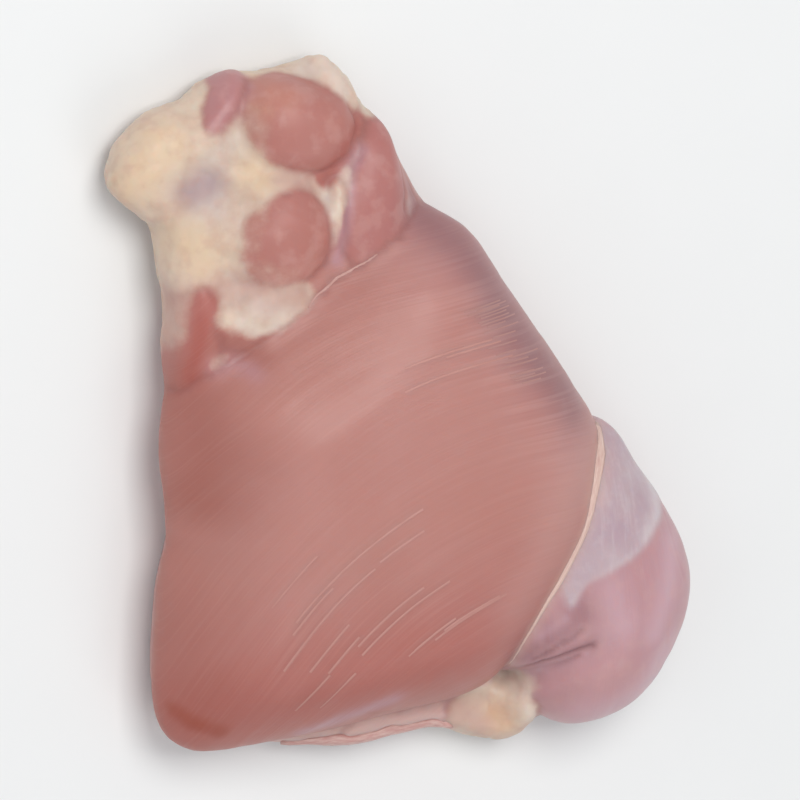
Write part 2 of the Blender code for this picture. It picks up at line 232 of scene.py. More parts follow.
# A painted lilac highlight down the left of the strip
LILAC_STREAK = [(-10.4, 41.6), (-12.3, 38.8), (-13.3, 35), (-13.9, 30), (-15, 25.8)]
LILAC_LINE = [(-26.7, 52), (-29.2, 48.5), (-30.2, 45.6)]
LILAC_PATCH = [(-34, 11), (-31.4, 11.8), (-29.1, 10.4)]
YELLOW_FAT = [[(-45.5, 38.6), (-43.2, 41.6), (-40.6, 44)], [(-37.6, 30.4), (-35.6, 27)],
              [(-29, 39.4), (-25.5, 38.9)]]
GREY_FAT = [[(-31, 43.4), (-32, 40.5), (-32.6, 37.4), (-34.4, 34.6)],
            [(-30.5, 22.5), (-27, 20), (-23.5, 19.6)]]
WHITE_FAT = [[(-17.2, 53.2), (-14.2, 54), (-12.6, 50)], [(-16.2, 35.5), (-16.6, 29.5)],
             [(16.7, -41.6), (17.4, -44.4), (18.4, -47.2)], [(-30, 17.2), (-26.8, 14.6), (-23.8, 17.8)]]
PINK_FAT = [[(4.4, -45), (9, -46.8), (12.4, -48.4)], [(-23, 38.6), (-19.5, 37.6)],
            [(-33, 22.6), (-27.5, 22.4), (-20.6, 20.4)], [(-39, 21), (-39.2, 15), (-39.4, 10)]]
ORANGE_TINT = [[(-26, 49.6), (-24.4, 51), (-22.6, 50.4)], [(14, -46.8), (15.6, -49)]]


class Field:
    """A distance field on a regular grid, negative inside the meat, and the number of the lobe that owns
    each place, in millimetres."""

    def __init__(self, low, high, step):
        self.low = low
        self.step = step
        axes = [np.arange(a, b + step / 2, step) for a, b in zip(low, high)]
        self.x, self.y, self.z = np.meshgrid(*axes, indexing="ij", sparse=True)
        self.values = np.full([len(a) for a in axes], FAR, np.float32)
        self.owner = np.zeros(self.values.shape, np.int8)
        self.lobes = ["none"]

    def block(self, centre, reach):
        """Slices of the grid, and its coordinates there, within reach of a centre."""
        cut = []
        for axis, size in enumerate(self.values.shape):
            first = int((centre[axis] - reach - self.low[axis]) / self.step)
            last = int((centre[axis] + reach - self.low[axis]) / self.step) + 2
            cut.append(slice(max(first, 0), min(last, size)))
        return tuple(cut), self.x[cut[0]], self.y[:, cut[1]], self.z[:, :, cut[2]]

    def join(self, name, shape, blend, cut=(slice(None),) * 3):
        """Adds a lobe, rounding the crease between it and what is there by blend."""
        self.lobes.append(name)
        there = self.values[cut]
        blend = np.float32(blend)
        near = np.maximum(blend - np.abs(there - shape), 0.0) / blend
        self.owner[cut] = np.where(shape < there, len(self.lobes) - 1, self.owner[cut])
        self.values[cut] = np.minimum(there, shape) - near * near * blend / 4

    def owner_at(self, points):
        """The lobe that each point, in millimetres, belongs to."""
        index = np.rint((points - self.low) / self.step).astype(int)
        index = np.clip(index, 0, np.array(self.values.shape) - 1)
        return self.owner[index[:, 0], index[:, 1], index[:, 2]]


def closed_curve(points, steps=8):
    """A closed smooth curve through points, with steps pieces from each to the next."""
    p = np.array(points, float)
    before, after, beyond = np.roll(p, 1, 0), np.roll(p, -1, 0), np.roll(p, -2, 0)
    t = (np.arange(steps) / steps)[None, :, None]
    p0, p1, p2, p3 = (q[:, None, :] for q in (before, p, after, beyond))
    curve = 0.5 * (2 * p1 + (p2 - p0) * t + (2 * p0 - 5 * p1 + 4 * p2 - p3) * t ** 2
                   + (3 * p1 - p0 - 3 * p2 + p3) * t ** 3)
    return curve.reshape(-1, p.shape[1])


def open_curve(points, steps=8):
    """The same for an open path: it starts at its first point and ends at its last."""
    p = np.array(points, float)
    ends = np.vstack([2 * p[0] - p[1], p, 2 * p[-1] - p[-2]])
    return np.vstack([closed_curve(ends, steps)[steps:-2 * steps], p[-1:]])


def distance_to_path(path, places, closed=False):
    """Distance to a line through the points of path from each place, given by its coordinates: x and y in
    plan, or x, y and z."""
    path = np.asarray(path, float)
    best = np.full(np.broadcast(*places).shape, 1e9)
    for a, b in zip(path, np.roll(path, -1, 0) if closed else path[1:]):
        d = b - a
        t = np.clip(sum((p - q) * r for p, q, r in zip(places, a, d)) / (d @ d), 0, 1)
        best = np.minimum(best, sum((p - q - t * r) ** 2 for p, q, r in zip(places, a, d)))
    return np.sqrt(best)


def distance_inside(outline, x, y):
    """Signed distance in plan to a closed outline: positive inside it."""
    path = closed_curve(outline)
    inside = np.zeros(np.broadcast(x, y).shape, bool)
    for a, b in zip(path, np.roll(path, -1, 0)):
        crosses = (a[1] > y) != (b[1] > y)
        if a[1] != b[1]:
            inside ^= crosses & (x < a[0] + (y - a[1]) * (b[0] - a[0]) / (b[1] - a[1]))
    away = distance_to_path(path, (x, y), closed=True)
    return np.where(inside, away, -away)


def softened(values, reach, step):
    """Values over the plan, each averaged with those within about reach of it."""
    offsets = np.arange(-2 * reach, 2 * reach + step, step)
    weights = np.exp(-(offsets / reach) ** 2)
    weights /= weights.sum()
    margin = len(weights) // 2
    for _ in range(2):
        padded = np.pad(values, ((margin, margin), (0, 0)), mode="edge")
        values = sum(w * padded[i:i + len(values)] for i, w in enumerate(weights)).T
    return values


def to_distance(shape, step, steepest):
    """Turns a form that is zero on its surface into about a distance, by dividing it by its slope."""
    slope = np.sqrt(sum(g * g for g in np.gradient(shape, step)))
    return shape / np.maximum(slope, steepest)


def flat_lobe(field, outline, roundness, top, bottom, edge):
    """A flat muscle or layer: its outline in plan, widest at the height edge, with its rim rounded over
    roundness up to top and down to bottom."""
    x, y = field.x[:, :, 0], field.y[:, :, 0]
    depth = softened(distance_inside(outline, x, y), SOFT, field.step)
    rim = np.abs(1 - np.minimum(depth / roundness, 1))[:, :, None]
    above = np.maximum(np.broadcast_to(top, depth.shape)[:, :, None] - edge, 1.0)
    below = edge - bottom
    rise = np.where(field.z > edge, (field.z - edge) / above, (edge - field.z) / below)
    shape = np.hypot(rim, rise) - 1
    return to_distance(shape.astype(np.float32), field.step, 0.5 / MAIN_HEIGHT)


def round_lobe(field, lobe):
    """A round lobe: returns its distance field and the part of the grid that it fills."""
    reach = max(lobe.length, lobe.width, lobe.height) * 1.5 + lobe.crease + 2
    cut, x, y, z = field.block(lobe.centre, reach)
    angle = np.radians(lobe.turn)
    x, y = x - lobe.centre[0], y - lobe.centre[1]
    along = (x * np.cos(angle) + y * np.sin(angle)) / lobe.length
    across = y * np.cos(angle) - x * np.sin(angle) - lobe.bend * along ** 2
    across = across / (lobe.width * np.clip(1 - lobe.taper * along, 0.3, 2))
    up = (z - lobe.centre[2]) / lobe.height
    n = lobe.fullness
    shape = (np.abs(along) ** n + np.abs(across) ** n + np.abs(up) ** n) ** (1 / n) - 1
    return to_distance(shape.astype(np.float32), field.step, 0.3 / reach), cut


def crown(x, y, height, centre, falls):
    """The height of a muscle's back: height at centre, less by falls at 40 mm from it along X and Y."""
    return height - falls[0] * ((x - centre[0]) / 40) ** 2 - falls[1] * ((y - centre[1]) / 40) ** 2


def groove(path, depths, half_width, x, y):
    """Depth at each (x, y) of a groove along path, going from the first of depths to the second."""
    start, end = np.array(path[0], float), np.array(path[-1], float)
    run = end - start
    share = np.clip(((x - start[0]) * run[0] + (y - start[1]) * run[1]) / (run @ run), 0, 1)
    depth = depths[0] + (depths[1] - depths[0]) * share
    return depth * np.exp(-(distance_to_path(path, (x, y)) / half_width) ** 2)


def wave(x, y, z, lengths, seed):
    """Slow uneven swelling between -1 and 1, from a few waves of the given lengths in seeded directions."""
    draw = np.random.default_rng(seed)
    total = 0.0
    for length in lengths:
        direction = draw.normal(size=3)
        direction /= np.linalg.norm(direction)
        phase = draw.uniform(0, 2 * np.pi)
        travel = x * direction[0] + y * direction[1] + z * direction[2]
        total = total + np.sin(travel * 2 * np.pi / length + phase)
    return total / len(lengths)


def thigh_field(field):
    """Joins every lobe of the thigh, presses in its grooves and cuts it flat where it rests."""
    x, y = field.x[:, :, 0], field.y[:, :, 0]
    tuck = flat_lobe(field, TUCK_OUTLINE, THIN_ROUND, TUCK_HEIGHT, bottom=-4.0, edge=THIN_EDGE_HEIGHT)
    field.join("tuck", tuck, CREASE)
    fat_top = FAT_HEIGHT + FAT_RISE[0] * (x - FAT_MIDDLE[0]) + FAT_RISE[1] * (y - FAT_MIDDLE[1])
    bed = flat_lobe(field, FAT_OUTLINE, THIN_ROUND, fat_top, bottom=-1.0, edge=THIN_EDGE_HEIGHT)
    field.join("bed", bed, FAT_CREASE)
    for name, lobe in {**FOLDS, **FAT_LUMPS, **MUSCLE_ENDS}.items():
        shape, cut = round_lobe(field, lobe)
        field.join(name, shape, lobe.crease, cut)
    side_top = crown(x, y, SIDE_HEIGHT, SIDE_MIDDLE, SIDE_FALLS)
    side = flat_lobe(field, SIDE_OUTLINE, SIDE_ROUND, side_top, bottom=0.0, edge=EDGE_HEIGHT)
    field.join("side", side, CREASE)
    main_top = crown(x, y, MAIN_HEIGHT, MAIN_MIDDLE, MAIN_FALLS)
    towards_fat = 1 / (1 + np.exp((x - y + FAT_LINE) / FAT_LINE_WIDTH))
    main_round = MAIN_ROUND + (FAT_SIDE_ROUND - MAIN_ROUND) * towards_fat
    crease = CREASE + (FAT_CREASE - CREASE) * towards_fat[:, :, None]
    main = flat_lobe(field, MAIN_OUTLINE, main_round, main_top, bottom=0.5, edge=EDGE_HEIGHT)
    field.join("main", main, crease)
    for path, depths, half_width in GROOVES:
        field.values += groove(path, depths, half_width, x, y)[:, :, None].astype(np.float32)
    field.values -= SWELL * wave(field.x, field.y, field.z, SWELL_LENGTHS, SWELL_SEED).astype(np.float32)
    field.values = np.maximum(field.values, np.broadcast_to(-field.z, field.values.shape).astype(np.float32))
    return field


def skin_of(field):
    """The field's zero surface: its points in millimetres and its quads, facing out."""
    grid = openvdb.FloatGrid(FAR)
    grid.copyFromArray(field.values.astype(np.float32))
    points, quads = grid.convertToQuads(isovalue=0.0)
    points = (points * field.step + field.low).astype(float)
    if np.linalg.det(points[quads[:, :3]]).sum() < 0:
        quads = quads[:, ::-1]
    return points, quads


def fibre_number(x, y):
    """The number that stays the same along a fibre of the main muscle: about millimetres across them."""
    rule = FIBRE_RULE
    return rule["y"] * y + rule["x"] * x + rule["xx"] * x * x + rule["xy"] * x * y + rule["yy"] * y * y


def fibre_line(x, y, length, step=1.0):
    """A path of points that starts at (x, y) and follows the main muscle's fibres towards +X."""
    rule = FIBRE_RULE
    path = [(x, y)]
    for _ in range(int(length / step)):
        over_x = rule["x"] + 2 * rule["xx"] * x + rule["xy"] * y
        over_y = rule["y"] + rule["xy"] * x + 2 * rule["yy"] * y
        size = math.hypot(over_x, over_y)
        x, y = x + step * over_y / size, y - step * over_x / size
        path.append((x, y))
    return path


class Skin:
    """The thigh's surface as points that know their neighbours, their lobe and their place in the fibres."""

    def __init__(self, field):
        self.points, self.quads = skin_of(field)
        sides = np.concatenate([self.quads[:, [i, (i + 1) % 4]] for i in range(4)])
        self.edges = np.unique(np.sort(sides, axis=1), axis=0)
        self.links = np.bincount(self.edges.ravel(), minlength=len(self.points))
        owner = field.owner_at(self.points)
        self.lobe = {name: owner == i for i, name in enumerate(field.lobes)}
        apart = owner[self.edges[:, 0]] != owner[self.edges[:, 1]]
        self.at_seam = np.zeros(len(self.points))
        self.at_seam[self.edges[apart].ravel()] = 1.0
        self.points = self.spread(self.points, 2)
        self.points[:, 2] = np.where(self.points[:, 2] < FLAT, 0.0, self.points[:, 2])
        self.pale_edge = self.crease("main", ["side"], 1, PALE_EDGE_SPAN, len(PALE_EDGE_WIDTHS))

    def spread(self, values, rounds):
        """Values at the points, each averaged with its neighbours' rounds times."""
        values = np.array(values, float)
        first, second = self.edges.T
        for _ in range(rounds):
            columns = values.reshape(len(values), -1)
            total = np.empty_like(columns)
            for i, column in enumerate(columns.T):
                total[:, i] = (np.bincount(first, column[second], len(values))
                               + np.bincount(second, column[first], len(values)))
            around = total / self.links[:, None]
            values = ((columns + around) / 2).reshape(values.shape)
        return values

    def normals(self):
        """The direction that points out of the surface at each point."""
        p = self.points[self.quads]
        face = np.cross(p[:, 2] - p[:, 0], p[:, 3] - p[:, 1])
        total = np.zeros_like(self.points)
        for i in range(4):
            for axis in range(3):
                total[:, axis] += np.bincount(self.quads[:, i], face[:, axis], len(self.points))
        return total / np.maximum(np.linalg.norm(total, axis=1), 1e-9)[:, None]

    def crease(self, first, others, axis, span, count, lowest=7.0):
        """A path of count points along the crease of one lobe with some others, between two places on an
        axis."""
        one, other = self.lobe[first], sum(self.lobe[name] for name in others) > 0
        a, b = self.edges.T
        meets = (one[a] & other[b]) | (one[b] & other[a])
        spots = (self.points[a[meets]] + self.points[b[meets]]) / 2
        spots = spots[spots[:, 2] > lowest]
        marks = np.linspace(*span, count)
        reach = abs(marks[1] - marks[0]) * 0.6
        return np.array([spots[np.abs(spots[:, axis] - mark) < reach].mean(0) for mark in marks])

    def near(self, path, width):
        """1 on a path over the surface, falling to nothing about twice width away from it."""
        axes = len(path[0])
        close = np.exp(-(distance_to_path(path, self.points.T[:axes]) / width) ** 2)
        return close if axes == 3 else close * smooth_step(self.points[:, 2], 3.0, 8.0)

    def near_any(self, paths, width):
        """The same for the nearest of some paths."""
        return strongest(*(self.near(path, width) for path in paths))

    def marks(self, *rows):
        """The strongest at each point of some marks, each given by its strength, path and width."""
        return strongest(*(strength * self.near(path, width) for strength, path, width in rows))

    def part(self, rounds, *names):
        """1 on some lobes and 0 on the others, averaged with the neighbours' rounds times."""
        return self.spread(sum(self.lobe[name] for name in names), rounds)

    def fibre_place(self):
        """Place among the fibres, in millimetres: across them, along them and up."""
        x, y, z = self.points.T
        across = fibre_number(x, y)
        along = x * np.cos(FIBRE_HEADING) + y * np.sin(FIBRE_HEADING)
        for name, turn in FIBRE_TURNS.items():
            c, s = np.cos(np.radians(turn)), np.sin(np.radians(turn))
            here = self.lobe[name]
            across = np.where(here, y * c - x * s, across)
            along = np.where(here, x * c + y * s, along)
        return np.stack([across, along, z], axis=1)


def cloud(points, size, seed):
    """Smooth noise between -1 and 1 at each point, with swellings about size apart."""
    cells = 24
    lattice = np.random.default_rng(seed).uniform(-1, 1, (cells, cells, cells))
    place = points / size + cells * 4.37
    cell = np.floor(place).astype(int)
    share = place - cell
    share = share * share * (3 - 2 * share)
    total = np.zeros(len(points))
    for corner in product((0, 1), repeat=3):
        weight = np.prod(np.where(corner, share, 1 - share), axis=1)
        i, j, k = ((cell + corner) % cells).T
        total += weight * lattice[i, j, k]
    return total


def strongest(*values):
    """The greatest of some values at each point."""
    return np.maximum.reduce(values)


def smooth_step(values, low, high):
    """0 below low, 1 above high and smooth in between."""
    t = np.clip((values - low) / (high - low), 0, 1)
    return t * t * (3 - 2 * t)


def zones(skin):
    """How much of each kind of surface, and of painted shade and light, there is at every point, from 0 to
    1.
    """
    p, z = skin.points, skin.points[:, 2]
    near, near_any, marks, part = skin.near, skin.near_any, skin.marks, skin.part
    drift = 0.4 * cloud(p, 3.0, 11)
    fat = np.clip(part(18, *FAT) + 0.10 * cloud(p, 1.8, 13) + 0.12 * cloud(p, 4.5, 15), 0, 1)
    fat = np.clip(fat - 0.85 * near(RED_SLIP, 2.0) - 0.3 * near(RED_SLIP, 3.8) - near(SLIP_EDGE, 3.0)
                  - near_any(BARE, 2.4) - 0.9 * near(BROWN_PATCH, 2.2) - 1.1 * near(RED_TAIL, 1.9)
                  + 0.36 * near_any(VEIL, 2.6) + 0.9 * near(FAT_PIT, 2.2), 0, 1)
    ends, side, outer = part(9, *MUSCLE_ENDS), part(5, "side"), part(8, "outer_strip")
    film = distance_inside(FILM_OUTLINE, p[:, 0] + drift, p[:, 1] + drift)
    film = smooth_step(film, -0.6, 1.2) * part(2, "side")
    film *= smooth_step(z + 2.5 * cloud(p, 5.0, 16), 6.0, 13.0)
    folds = part(4, *FOLDS, "tuck") * (1 - 0.6 * smooth_step(p[:, 1] + 4 * cloud(p, 5.0, 17), -42, -34))
    low = 1 - smooth_step(z, 5.0, 9.0)
    # pearly skin, with painted sheen along the broad edge and on the strip
    pearl = strongest(0.75 * side, film, 0.7 * folds, 0.45 * outer, 0.15 * part(8, "strip"),
                      marks((0.7, SHEEN_BAND, 1.9), (0.8, LILAC_STREAK, 1.2), (0.2, MAUVE_SHADED_EDGE, 8.0),
                            (0.4, LILAC_LINE, 0.9), (0.5, LILAC_PATCH, 1.6)))
    pearl *= 1 - 0.3 * near(SIDE_PINK, 4.5)
    # painted highlights and painted light on the side muscle
    light = side * marks((1, SIDE_SHEEN, 2.2), (0.7, SIDE_LIGHT, 2.6), (0.6, SIDE_TURN, 0.8),
                         (0.9, SIDE_LOW, 3.6))
    # mauve tones, with painted shade along the main muscle's right edge and beside the side muscle's crease
    mauve = marks((1, MAUVE_SHADED_EDGE, 4.5), (0.85, MAUVE_HOLLOW, 2.7), (0.6, SIDE_SHADE, 2.2),
                  (0.9, SIDE_MAUVE, 3.4))
    red = strongest(0.5 * near(RED_SLIP, 1.6) + 0.5 * near(RED_SLIP, 3.4), 0.65 * part(9, "strip"),
                    0.35 * ends, 0.76 * near(LOW_MUSCLE, 12.0) * part(4, "main"),
                    marks((0.8, RED_TAIL, 2.2), (0.4, RED_END, 3.4)))
    # brown tones, with painted shade down the left side
    brown = marks((1, LEFT_SHADE, 5.5), (0.9, BROWN_PATCH, 2.4), (0.5, LOWER_LEFT, 7.0))
    brown = strongest(brown, 0.3 * outer)
    # a spot of juice, and painted shade in the recess under the main muscle's edge
    juice = marks((0.85, JUICE_SPOT, 2.0), (0.6, RECESS_SHADE, 0.9))
    juice = smooth_step(juice + 0.15 * cloud(p, 1.8, 14), 0.15, 1.0)
    # Painted shade: the colour darkens along the creases between lobes, less towards the fat and low down
    seam = np.clip(1.6 * skin.spread(skin.at_seam, 3), 0, 1) * (1 - 0.85 * skin.spread(fat, 6)) * (1 - low)
    seam *= 1 - 0.9 * near(skin.pale_edge, 2.4)
    return {"fat": fat, "film": film, "pearl": pearl, "light": light, "mauve": mauve, "red": red,
            "brown": brown, "juice": juice, "seam": seam, "folds": folds * (1 - fat),
            "rim": marks((0.8, skin.pale_edge, 1.2), (0.8, skin.pale_edge[-4:-1], 2.2)),
            # line is painted shade in the side muscle's crease and wrinkles
            "line": strongest(near(SIDE_CREASE, 0.55), 0.6 * near_any(SIDE_WRINKLES, 0.45)),
            "streaky": np.clip(1 - 0.8 * ends - 0.5 * side, 0, 1),
            "yellow": near_any(YELLOW_FAT, 3.4), "grey": near_any(GREY_FAT, 3.0),
            "white": near_any(WHITE_FAT, 1.6), "pink": near_any(PINK_FAT, 2.6),
            # pale is painted light along the main muscle's right side
            "orange": near_any(ORANGE_TINT, 2.0), "pale": near(RIGHT_PAINTED_LIGHT, 5.5) * (1 - side),
            "streak": marks((1, FILM_STREAK, 1.5), (0.5, FILM_RIM, 0.6)),
            "lined": marks((1, LINED, 6.5), (0.4, STRIATED, 9.0))}


def relief(skin, zone):
    """Height of the fine form over the smooth surface, in millimetres."""
    p = skin.points
    fibres = skin.fibre_place()
    grain = 0.050 * cloud(fibres / (1.0, 18.0, 6.0), 1.9, 21)
    grain += 0.030 * cloud(fibres / (1.0, 14.0, 5.0), 1.0, 22)
    dents = 0.16 * cloud(p, 9.0, 23) + 0.06 * cloud(p, 4.0, 24)
    lobules = 0.42 * (np.abs(cloud(p, 3.6, 25)) - 0.3) + 0.22 * (np.abs(cloud(p, 1.7, 26)) - 0.3)
    wrinkle = np.exp(-(cloud(fibres / (1.0, 5.0, 3.0), 2.6, 27) / 0.12) ** 2)
    muscle = (1 - zone["fat"]) * (1 - 0.6 * zone["pearl"])
    height = dents + grain * muscle + lobules * zone["fat"]
    height -= 0.10 * wrinkle * np.clip(zone["pearl"] - zone["film"], 0, 1)
    height += 0.12 * zone["film"] - 0.20 * zone["seam"] - 0.35 * zone["line"]
    return height


def placed(name, data, **settings):
    """An object that holds some data, which gets its settings first, linked to the scene."""
    for setting, value in settings.items():
        setattr(data, setting, value)
    made = bpy.data.objects.new(name, data)
    bpy.context.scene.collection.objects.link(made)
    return made


def plain_mesh(name, points, faces, finish):
    """A mesh of points in millimetres, in its place, with one finish and smooth shading."""
    mesh = bpy.data.meshes.new(name)
    mesh.from_pydata((np.asarray(points) * MM).tolist(), [], [list(map(int, face)) for face in faces])
    mesh.materials.append(finish)
    mesh.validate()
    mesh.shade_smooth()
    return placed(name, mesh)


def give(piece, name, values):
    """Stores a number, or three, at every point of a piece, for its finish to read."""
    values = np.asarray(values, np.float32)
    kind = "FLOAT_VECTOR" if values.ndim == 2 else "FLOAT"
    layer = piece.data.attributes.new(name, kind, "POINT")
    layer.data.foreach_set("vector" if values.ndim == 2 else "value", values.ravel())


def thigh_piece(skin):
    """The meat: muscle, fat and skin in one closed piece, with its zones stored for the finish."""
    zone = zones(skin)
    height = relief(skin, zone)
    points = skin.points + skin.normals() * height[:, None]
    points[:, 2] = np.where(skin.points[:, 2] <= 0.0, 0.0, np.maximum(points[:, 2], 0.0))
    piece = plain_mesh("thigh_meat", points, skin.quads, flesh(zone))
    for name, values in zone.items():
        give(piece, name, values)
    give(piece, "fibre", skin.fibre_place())
    return piece


def band(name, path, widths, thickness, surface, finish, shift=0.0, frill=0.0, seed=5):
    """A thin strip that lies on the meat along a path: closed, thickest along its middle and tapered at
    both ends. widths is its width along the path, shift puts it to one side of it, in half widths, and
    frill waves its edges, in millimetres."""
    line = open_curve(path, BAND_STEPS)
    share = np.linspace(0, 1, len(line))
    width = np.interp(share, np.linspace(0, 1, len(widths)), widths)
    tangent = np.gradient(line, axis=0)
    tangent /= np.linalg.norm(tangent, axis=1)[:, None]
    waves = np.random.default_rng(seed).uniform(-1, 1, len(path) * 3 + 1)
    wobble = np.interp(share * (len(waves) - 1), np.arange(len(waves)), waves)
    upper, lower = range(BAND_RIBS + 1), range(BAND_RIBS - 1, 0, -1)
    ring = [rib / BAND_RIBS * 2 - 1 for rib in (*upper, *lower)]
    count = len(ring)
    points, faces = [], []
    for i, centre in enumerate(line):
        across = np.cross(surface.find_nearest(Vector(centre) * MM)[1], tangent[i])
        across /= np.linalg.norm(across)
        for j, side in enumerate(ring):
            offset = across * ((side + shift) * width[i] / 2 + frill * wobble[i] * (0.3 + abs(side)))
            spot, out, *_ = surface.find_nearest(Vector(centre + offset) * MM)
            rise = thickness * (1 - side ** 2) * min(1.0, width[i]) if j in upper else -BAND_SINK
            points.append(np.array(spot) / MM + np.array(out) * rise)
    for i in range(len(line) - 1):
        for j in range(count):
            a, b = i * count + j, i * count + (j + 1) % count
            faces.append((a, b, b + count, a + count))
    last = (len(line) - 1) * count
    faces += [tuple(range(count))[::-1], tuple(range(last, last + count))]
    points = np.array(points)
    points[:, 2] = np.maximum(points[:, 2], 0.1)
    piece = plain_mesh(name, points, faces, finish)
    turn_out(piece)
    along = np.repeat(np.concatenate([[0], np.cumsum(np.linalg.norm(np.diff(line, axis=0), axis=1))]), count)
    give(piece, "strip", np.stack([np.tile(ring, len(line)), along, 0 * along], axis=1))
    return piece


def turn_out(piece):
    """Turns a closed piece's faces outwards."""
    mesh = piece.data
    mesh.calc_loop_triangles()
    corners = np.array([[mesh.vertices[i].co for i in t.vertices] for t in mesh.loop_triangles])
    if np.linalg.det(corners).sum() < 0:
        mesh.flip_normals()


def operator(operation, swapped=False):
    """A method that adds a Math node for two values, the other way round where swapped."""
    def add_node(self, other):
        values = (other, self) if swapped else (self, other)
        return self.tree.node("ShaderNodeMath", dict(enumerate(values)), operation=operation)
    return add_node


class Wire:
    """A value on a socket of a node tree. Operators on it add Math nodes."""

    def __init__(self, tree, socket):
        self.tree = tree
        self.socket = socket

    __add__ = __radd__ = operator("ADD")
    __mul__ = __rmul__ = operator("MULTIPLY")
    __sub__ = operator("SUBTRACT")
    __rsub__ = operator("SUBTRACT", swapped=True)
    __pow__ = operator("POWER")


class Tree:
    """A node tree that is built by naming each node's kind, its settings and its sockets' values."""

    def __init__(self, tree):
        self.tree = tree
        tree.nodes.clear()

    def node(self, kind, values=None, out=0, **settings):
        """Adds a node: settings first, then a value or a link for each socket. Returns its output."""
        made = self.tree.nodes.new(kind)
        for name, value in settings.items():
            setattr(made, name, value)
        for socket, value in (values or {}).items():
            if isinstance(value, Wire):
                self.tree.links.new(value.socket, made.inputs[socket])
            else:
                made.inputs[socket].default_value = value
        return Wire(self, made.outputs[out]) if made.outputs else None


def tone(red, green, blue):
    """A colour given as it looks on a screen, from 0 to 255, as the linear colour of a node."""
    share = [c / 255 for c in (red, green, blue)]
    return (*(c / 12.92 if c <= 0.04045 else ((c + 0.055) / 1.055) ** 2.4 for c in share), 1.0)


class Finish(Tree):
    """A material under construction."""

    def __init__(self, name):
        self.material = bpy.data.materials.new(name)
        self.material.use_nodes = True
        super().__init__(self.material.node_tree)

    def zone(self, name):
        """A number stored at the piece's points."""
        return self.node("ShaderNodeAttribute", out="Fac", attribute_name=name)

    def place(self, scale=(1, 1, 1)):
        """Object coordinates, in metres, stretched by scale."""
        spot = self.node("ShaderNodeTexCoord", out="Object")
        return self.node("ShaderNodeVectorMath", {0: spot, 1: scale}, operation="MULTIPLY")

    def stored_place(self, name, scale):
        """A stored place, such as the one among the fibres, stretched by scale."""
        spot = self.node("ShaderNodeAttribute", out="Vector", attribute_name=name)
        return self.node("ShaderNodeVectorMath", {0: spot, 1: scale}, operation="MULTIPLY")

    def noise(self, place, scale, detail=3.0, rough=0.5):
        return self.node("ShaderNodeTexNoise", {"Vector": place, "Scale": scale, "Detail": detail,
                                                "Roughness": rough})

    def cells(self, place, scale):
        return self.node("ShaderNodeTexVoronoi", {"Vector": place, "Scale": scale, "Smoothness": 0.6},
                         feature="SMOOTH_F1")

    def fade(self, value, low, high):
        """0 where value is below low, 1 where it is above high."""
        return self.node("ShaderNodeMapRange", {0: value, 1: low, 2: high, 3: 0.0, 4: 1.0},
                         interpolation_type="SMOOTHSTEP")

    def blend(self, share, first, second):
        """first where share is 0, second where it is 1: each a colour's wire or its tone on a screen."""
        first, second = (c if isinstance(c, Wire) else tone(*c) for c in (first, second))
        return self.node("ShaderNodeMix", {0: share, 6: first, 7: second}, out=2, data_type="RGBA")

    def tinted(self, base, *tints):
        """A colour with tints laid over it one after the other, each given by its share and colour."""
        for share, colour in tints:
            base = self.blend(share, base, colour)
        return base

    def close(self, **surface):
        """The surface shader. Its sockets are named with _ for a space."""
        values = {name.replace("_", " "): value for name, value in surface.items()}
        height = values.pop("height", None)
        if height is not None:
            values["Normal"] = self.node("ShaderNodeBump", {"Height": height, "Strength": 1.0,
                                                            "Distance": values.pop("depth")})
        shader = self.node("ShaderNodeBsdfPrincipled", values)
        self.node("ShaderNodeOutputMaterial", {"Surface": shader})
        return self.material


